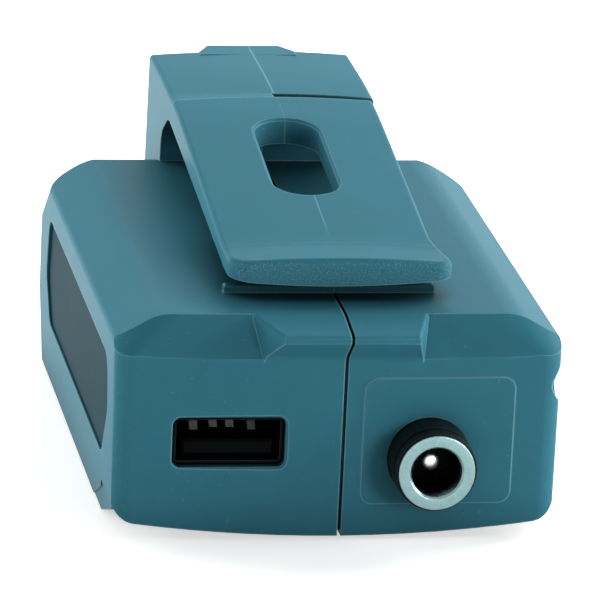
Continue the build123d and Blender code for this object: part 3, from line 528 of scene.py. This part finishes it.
def easeBend(mesh, bend, bends):
    # rows are cut across the crease, then the top follows a parabola of height
    # slope * (reach - d)^2 / (4 reach), d the distance from the crease
    crease, reach, slope = bend["crease"], bend["reach"], bend["slope"]
    work = bmesh.new()
    work.from_mesh(mesh)
    for y in np.linspace(crease - reach, crease + reach, bend["cuts"]):
        faces = [face for face in work.faces if face.calc_center_median().z > bends["cutAbove"]]
        edges = list({edge for face in faces for edge in face.edges})
        bmesh.ops.bisect_plane(work, geom=edges + faces, dist=bends["cutSlack"],
                               plane_co=(0, y, 0), plane_no=(0, 1, 0))
    bmesh.ops.triangulate(work, faces=work.faces[:])
    work.to_mesh(mesh)
    work.free()
    points = meshPoints(mesh)
    away = points[:, 1] - crease
    rise = slope * np.clip(reach - np.abs(away), 0, None) ** 2 / (4 * reach)
    top = bend["crest"] + np.where(away * slope > 0, slope * np.abs(away), 0.0)
    share = np.clip((points[:, 2] - (top - bends["depth"] - bends["blend"])) / bends["blend"], 0, 1)
    points[:, 2] += rise * share
    mesh.vertices.foreach_set("co", points.ravel())


# node, new name, material, body, slot, angle from which an edge stays sharp, bends to ease
copiedPieces = [
    ("left_housing", "leftShell", shellMaterial, "housing", "housing", 24, ["arm"]),
    ("right_housing", "rightShell", shellMaterial, "housing", "housing", 24, ["arm"]),
    ("belt_clip", "clipArm", clipMaterial, "clip_arm", "housing", 24, ["arm", "lip"]),
    ("jack_body", "jackCollar", grained["blackMould"], "housing", "jack_plastic", 30, []),
    ("usb_shell", "usbShell", grained["shadedSheetSteel"], "housing", "usb_steel", 30, []),
    ("housing_screws", "housingScrews", grained["zincSteel"], "housing", "screw_steel", 30, []),
]
for node, name, material, body, slotName, degrees, eased in copiedPieces:
    copied = mergedCopy(node, name)
    for bendName in eased:
        easeBend(copied.data, clipBends[bendName], clipBends)
    smoothPiece(copied, degrees)
    evenNormals = copied.modifiers.new("evenNormals", "WEIGHTED_NORMAL")
    evenNormals.mode = "FACE_AREA"
    evenNormals.keep_sharp = True
    finishPiece(copied, material, body, node)
print("stage: finished copies made", len(copiedPieces))


def gridPiece(name, points):
    # points[i, j] is ring i at turn j; rings close round the axis, and the last one joins the first
    rows, columns = points.shape[:2]
    i, j = np.meshgrid(np.arange(rows), np.arange(columns), indexing="ij")
    below, beside = (i + 1) % rows, (j + 1) % columns
    faces = np.stack((i, i, below, below), axis=-1) * columns + np.stack((j, beside, beside, j), axis=-1)
    return newPiece(name, points.reshape(-1, 3), faces.reshape(-1, 4).tolist())


def roundedProfile(corners, steps=5):
    # corners are (along, radius, rounding): each corner becomes a short quadratic curve between
    # points that lie one rounding away from it on its two sides
    spots = np.array([corner[:2] for corner in corners])
    rounding = np.array([corner[2] for corner in corners])[:, None]
    before = np.roll(spots, 1, axis=0) - spots
    after = np.roll(spots, -1, axis=0) - spots
    before /= np.linalg.norm(before, axis=1)[:, None]
    after /= np.linalg.norm(after, axis=1)[:, None]
    t = np.linspace(0, 1, steps)[None, :, None]
    start, end = (spots + before * rounding)[:, None], (spots + after * rounding)[:, None]
    curve = (1 - t) ** 2 * start + 2 * t * (1 - t) * spots[:, None] + t ** 2 * end
    return curve.reshape(-1, 2)


def turnedPiece(name, profile, low, high, columns):
    # each profile point (y, r) turned about the box's y axis: x = middle + r cos a, z = middle + r sin a
    angle = np.linspace(0, 2 * np.pi, columns, endpoint=False)
    y, radius = profile[:, 0][:, None], profile[:, 1][:, None]
    x = (low[0] + high[0]) / 2 + radius * np.cos(angle)
    z = (low[2] + high[2]) / 2 + radius * np.sin(angle)
    return gridPiece(name, np.stack((x, np.broadcast_to(y, x.shape), z), axis=-1))


# the last five are the roundings of the profile's corners
socketRing = {"flange": 0.0005, "flangeRadius": 0.0046, "bore": 0.0030, "wall": 0.0004, "chamfer": 0.00028,
              "columns": 128, "edgeRound": 0.00014, "rearRound": 0.00010, "backRound": 0.00005,
              "mouthRound": 0.00006, "neckRound": 0.00002}


def buildSocketRing(size):
    low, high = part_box("jack_sleeve")
    front, back = low[1], high[1]
    outer, bore = size["flangeRadius"], size["bore"]
    tube = bore + size["wall"]
    corners = [
        (back, bore, size["backRound"]),
        (front + size["chamfer"], bore, size["mouthRound"]),
        (front, bore + size["chamfer"], size["mouthRound"]),
        (front, outer, size["edgeRound"]),
        (front + size["flange"], outer, size["rearRound"]),
        (front + size["flange"], tube, size["neckRound"]),
        (back, tube, size["backRound"]),
    ]
    return turnedPiece("socketRing", roundedProfile(corners), low, high, size["columns"])


centrePin = {"dome": 0.00045, "columns": 64, "rows": 14}


def buildCentrePin(size):
    # an ellipse's quarter turned for the dome, y = front + dome (1 - cos t), r = radius sin t,
    # then a straight shank
    low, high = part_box("jack_pin")
    radius = (high[0] - low[0]) / 2
    t = np.linspace(0, np.pi / 2, size["rows"])
    dome = np.stack((low[1] + size["dome"] * (1 - np.cos(t)), radius * np.sin(t)), axis=-1)
    profile = np.concatenate((dome, [[high[1], radius], [high[1], 0.0]]))
    pin = turnedPiece("centrePin", profile, low, high, size["columns"])
    work = bmesh.new()
    work.from_mesh(pin.data)
    bmesh.ops.remove_doubles(work, verts=work.verts[:], dist=1e-8)
    bmesh.ops.dissolve_degenerate(work, edges=work.edges[:], dist=1e-9)
    work.to_mesh(pin.data)
    work.free()
    return pin


springContacts = {
    "width": 0.0010, "thickness": 0.00020,
    "places": (0.0005, 0.0030, 0.0050, 0.0075), "lead": (0.0, 0.0010, 0.0010, 0.0),
    "seat": 0.0003, "bump": 0.0009, "crest": 0.0010, "reach": 0.0010, "bend": 0.0004,
    "squareness": 0.25, "columns": 24, "flatSteps": 60, "bendSteps": 8, "tailSteps": 4,
}


def springPath(size, low, high, lead):
    # (y, z) along the strip: flat with a raised crest, bump (1 + cos(pi (s - crest) / reach)) / 2,
    # then a quarter circle and a straight tail up to the board
    half, bend = size["thickness"] / 2, size["bend"]
    level, back = low[2] + size["seat"] - half, high[1] - half
    y = np.linspace(low[1] + lead, back - bend, size["flatSteps"])
    away = np.clip((y - y[0] - size["crest"]) / size["reach"], -1, 1)
    z = level + size["bump"] * (1 + np.cos(np.pi * away)) / 2
    turn = np.linspace(0, np.pi / 2, size["bendSteps"])[1:]
    arcY, arcZ = back - bend + bend * np.sin(turn), level + bend - bend * np.cos(turn)
    tail = np.linspace(arcZ[-1], high[2], size["tailSteps"])[1:]
    pathY = np.concatenate((y, arcY, np.full(len(tail), back)))
    return np.stack((pathY, np.concatenate((z, arcZ, tail))), axis=-1)


def buildSpringContacts(size):
    # the section is a flat superellipse, x = w/2 cos^(1/4) t and n = h/2 sin^(1/4) t,
    # carried along each path
    low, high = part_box("usb_contacts")
    columns = size["columns"]
    t = np.linspace(0, 2 * np.pi, columns, endpoint=False) + np.pi / columns
    across = size["width"] / 2 * np.sign(np.cos(t)) * np.abs(np.cos(t)) ** size["squareness"]
    outward = size["thickness"] / 2 * np.sign(np.sin(t)) * np.abs(np.sin(t)) ** size["squareness"]
    ring = np.arange(columns)
    points, faces, start = [], [], 0
    for place, lead in zip(size["places"], size["lead"]):
        path = springPath(size, low, high, lead)
        along = np.gradient(path, axis=0)
        along /= np.linalg.norm(along, axis=1)[:, None]
        rows = len(path)
        y = path[:, :1] - along[:, 1:] * outward
        z = path[:, 1:] + along[:, :1] * outward
        x = np.broadcast_to(low[0] + place + across, y.shape)
        points.append(np.stack((x, y, z), axis=-1).reshape(-1, 3))
        i, j = np.meshgrid(np.arange(rows - 1), ring, indexing="ij")
        beside = (j + 1) % columns
        quads = np.stack((i, i, i + 1, i + 1), axis=-1) * columns
        quads += np.stack((j, beside, beside, j), axis=-1) + start
        faces += quads.reshape(-1, 4).tolist()
        faces += [(ring[::-1] + start).tolist(), (ring + start + (rows - 1) * columns).tolist()]
        start += rows * columns
    return newPiece("springContacts", np.concatenate(points), faces)


coilWinding = {"turns": 9, "wire": 0.00042, "rings": 200, "columns": 72, "bore": 0.0023}


def buildWinding(size):
    # the outside is r = R - wire/2 * (1 - sqrt|sin(pi * (turns * h - a / 2 pi))|),
    # a wire wound round in a helix
    low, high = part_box("inductor_winding")
    center = (np.array(low) + np.array(high)) / 2
    radius = (high[0] - low[0]) / 2
    h = np.linspace(0, 1, size["rings"])[:, None]
    a = np.linspace(0, 2 * np.pi, size["columns"], endpoint=False)[None, :]
    wave = np.abs(np.sin(np.pi * (size["turns"] * h - a / (2 * np.pi))))
    outside = radius - size["wire"] * 0.5 * (1 - np.sqrt(wave))
    inside = np.full((2, size["columns"]), size["bore"])
    r = np.concatenate((outside, inside))
    z = low[2] + (high[2] - low[2]) * np.concatenate((h, [[1.0], [0.0]]))
    x, y = center[0] + r * np.cos(a), center[1] + r * np.sin(a)
    return gridPiece("coilWinding", np.stack((x, y, np.broadcast_to(z, r.shape)), axis=-1))


def faceOutward(piece):
    # the enclosed volume's sign says which way the faces point
    mesh = piece.data
    mesh.calc_loop_triangles()
    corners = np.empty(len(mesh.loop_triangles) * 3, dtype=np.int32)
    mesh.loop_triangles.foreach_get("vertices", corners)
    a, b, c = meshPoints(mesh)[corners.reshape(-1, 3)].transpose(1, 0, 2)
    if np.einsum("ij,ij->i", a, np.cross(b, c)).sum() < 0:
        mesh.flip_normals()


newPieces = [
    (buildSocketRing(socketRing), ringMaterial, "jack_sleeve", "jack_metal"),
    (buildCentrePin(centrePin), pinMaterial, "jack_pin", "jack_metal"),
    (buildSpringContacts(springContacts), grained["contactPlate"], "usb_contacts", "contact_metal"),
    (buildWinding(coilWinding), grained["copperWire"], "inductor_winding", "copper"),
]
newPieceSharp = 50  # degrees
for piece, material, node, slotName in newPieces:
    faceOutward(piece)
    smoothPiece(piece, newPieceSharp)
    finishPiece(piece, material, "housing", node)
print("stage: worked-out pieces made", len(newPieces))

# nodes that keep their own mesh
nodeFinishes = {
    "side_label": "barePlate", "usb_tongue": "shadedTongueMould", "jack_nut": "zincSteel",
    "jack_washer": "zincSteel", "jack_tags": "contactPlate", "jack_leads": "redLead",
    "circuit_board": "boardMask", "board_screws": "zincSteel", "inductor_core": "ferriteBody",
    "capacitors": "canMetal", "converter_chip": "blockMould", "rectifier_diode": "blockMould",
    "fuse": "ceramicFuse", "terminal_block": "blockMould", "terminal_blades": "bladePlate",
}
for node, finish in nodeFinishes.items():
    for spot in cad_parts[node].material_slots:
        spot.material = grained[finish]
print("stage: node materials set", len(nodeFinishes))

studio = {
    "floorColor": (0.80, 0.805, 0.805, 1),
    "floorRoughness": 0.9,
    "floorLift": 0.55,
    "floorSize": 6.0,
    "floorBelow": 0.0002,
    "white": (1, 1, 1, 1),
    "ambient": 0.0,
    "backdrop": 1.0,
    # name: place, aim, size, watts, whether it shows in reflections
    "lamps": {
        "backKey": ((0.10, 0.85, 0.45), (0.0, 0.0, 0.02), 0.50, 6.9, False),
        "rightBack": ((0.35, 0.45, 0.60), (0.0, 0.0, 0.02), 0.45, 2.1, False),
        "leftTop": ((-0.45, 0.45, 0.50), (0.0, 0.0, 0.02), 0.45, 1.6, False),
        "rightGlow": ((0.62, 0.26, 0.45), (0.0, 0.0, 0.02), 0.40, 4.0, True),
        "right": ((0.75, -0.16, 0.22), (0.0, 0.0, 0.02), 0.45, 4.8, True),
        "leftBack": ((-0.65, 0.40, 0.15), (0.0, 0.0, 0.02), 0.45, 4.6, False),
        "left": ((-0.75, -0.10, 0.15), (0.0, 0.0, 0.02), 0.45, 2.6, False),
        "rightFront": ((0.42, -0.85, 0.20), (0.0, 0.0, 0.02), 0.30, 3.5, True),
        "lowFront": ((-0.15, -1.00, 0.05), (0.0, 0.0, 0.01), 0.40, 1.0, True),
    },
}


def seenShare(tree):
    # 1 for rays that show the surface to the camera, straight or reflected, 0 for its light on other things
    light = addNode(tree, "ShaderNodeLightPath").outputs
    seen = mathNode(tree, "MAXIMUM", light["Is Camera Ray"], light["Is Glossy Ray"])
    return mathNode(tree, "MAXIMUM", seen, light["Is Transmission Ray"])


def addFloor(settings):
    size = settings["floorSize"] / 2
    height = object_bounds()[0][2] - settings["floorBelow"]
    mesh = bpy.data.meshes.new("studioFloor")
    corners = [(-size, -size, height), (size, -size, height), (size, size, height), (-size, size, height)]
    mesh.from_pydata(corners, [], [(0, 1, 2, 3)])
    material, tree, shader = newMaterial("studioFloor")
    shader.inputs["Base Color"].default_value = settings["floorColor"]
    shader.inputs["Roughness"].default_value = settings["floorRoughness"]
    shader.inputs["Specular IOR Level"].default_value = 0.0
    shader.inputs["Emission Color"].default_value = settings["white"]
    lift = multiplied(tree, seenShare(tree), settings["floorLift"])
    tree.links.new(lift, shader.inputs["Emission Strength"])
    mesh.materials.append(material)
    linkObject("studioFloor", mesh)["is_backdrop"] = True


def addWorld(settings):
    world = bpy.data.worlds.new("studio")
    world.use_nodes = True
    tree = world.node_tree
    ambient = tree.nodes["Background"]
    ambient.inputs["Color"].default_value = settings["white"]
    ambient.inputs["Strength"].default_value = settings["ambient"]
    backdrop = addNode(tree, "ShaderNodeBackground")
    backdrop.inputs["Color"].default_value = settings["white"]
    backdrop.inputs["Strength"].default_value = settings["backdrop"]
    mix = addNode(tree, "ShaderNodeMixShader")
    tree.links.new(seenShare(tree), mix.inputs[0])
    tree.links.new(ambient.outputs[0], mix.inputs[1])
    tree.links.new(backdrop.outputs[0], mix.inputs[2])
    tree.links.new(mix.outputs[0], tree.nodes["World Output"].inputs["Surface"])
    bpy.context.scene.world = world


def addLamps(settings):
    for name, (place, aim, size, watts, glossy) in settings["lamps"].items():
        lamp = bpy.data.lights.new(name, "AREA")
        lamp.shape = "DISK"
        lamp.size = size
        lamp.energy = watts
        holder = linkObject(name, lamp)
        holder.visible_glossy = glossy
        turn = (Vector(aim) - Vector(place)).to_track_quat("-Z", "Y").to_matrix().to_4x4()
        holder.matrix_world = Matrix.Translation(place) @ turn


view = {
    "eye": (-0.1261, -0.7426, 0.2450),
    "target": (-0.00050, -0.0108, 0.02094),
    "lens": 378.95,
    "sensor": 36.0,
    "roll": 2.766,
    "nearest": 0.05,
}


def addCamera(place):
    data = bpy.data.cameras.new("studioCamera")
    data.lens = place["lens"]
    data.sensor_width = place["sensor"]
    data.clip_start = place["nearest"]
    camera = linkObject("studioCamera", data)
    eye = Vector(place["eye"])
    turn = (Vector(place["target"]) - eye).to_track_quat("-Z", "Y").to_matrix()
    roll = Matrix.Rotation(math.radians(place["roll"]), 3, "Z")
    camera.matrix_world = Matrix.Translation(eye) @ (turn @ roll).to_4x4()
    bpy.context.scene.camera = camera


addFloor(studio)
addWorld(studio)
addLamps(studio)
addCamera(view)
bpy.context.scene.view_settings.view_transform = "Standard"
print("stage: studio ready")
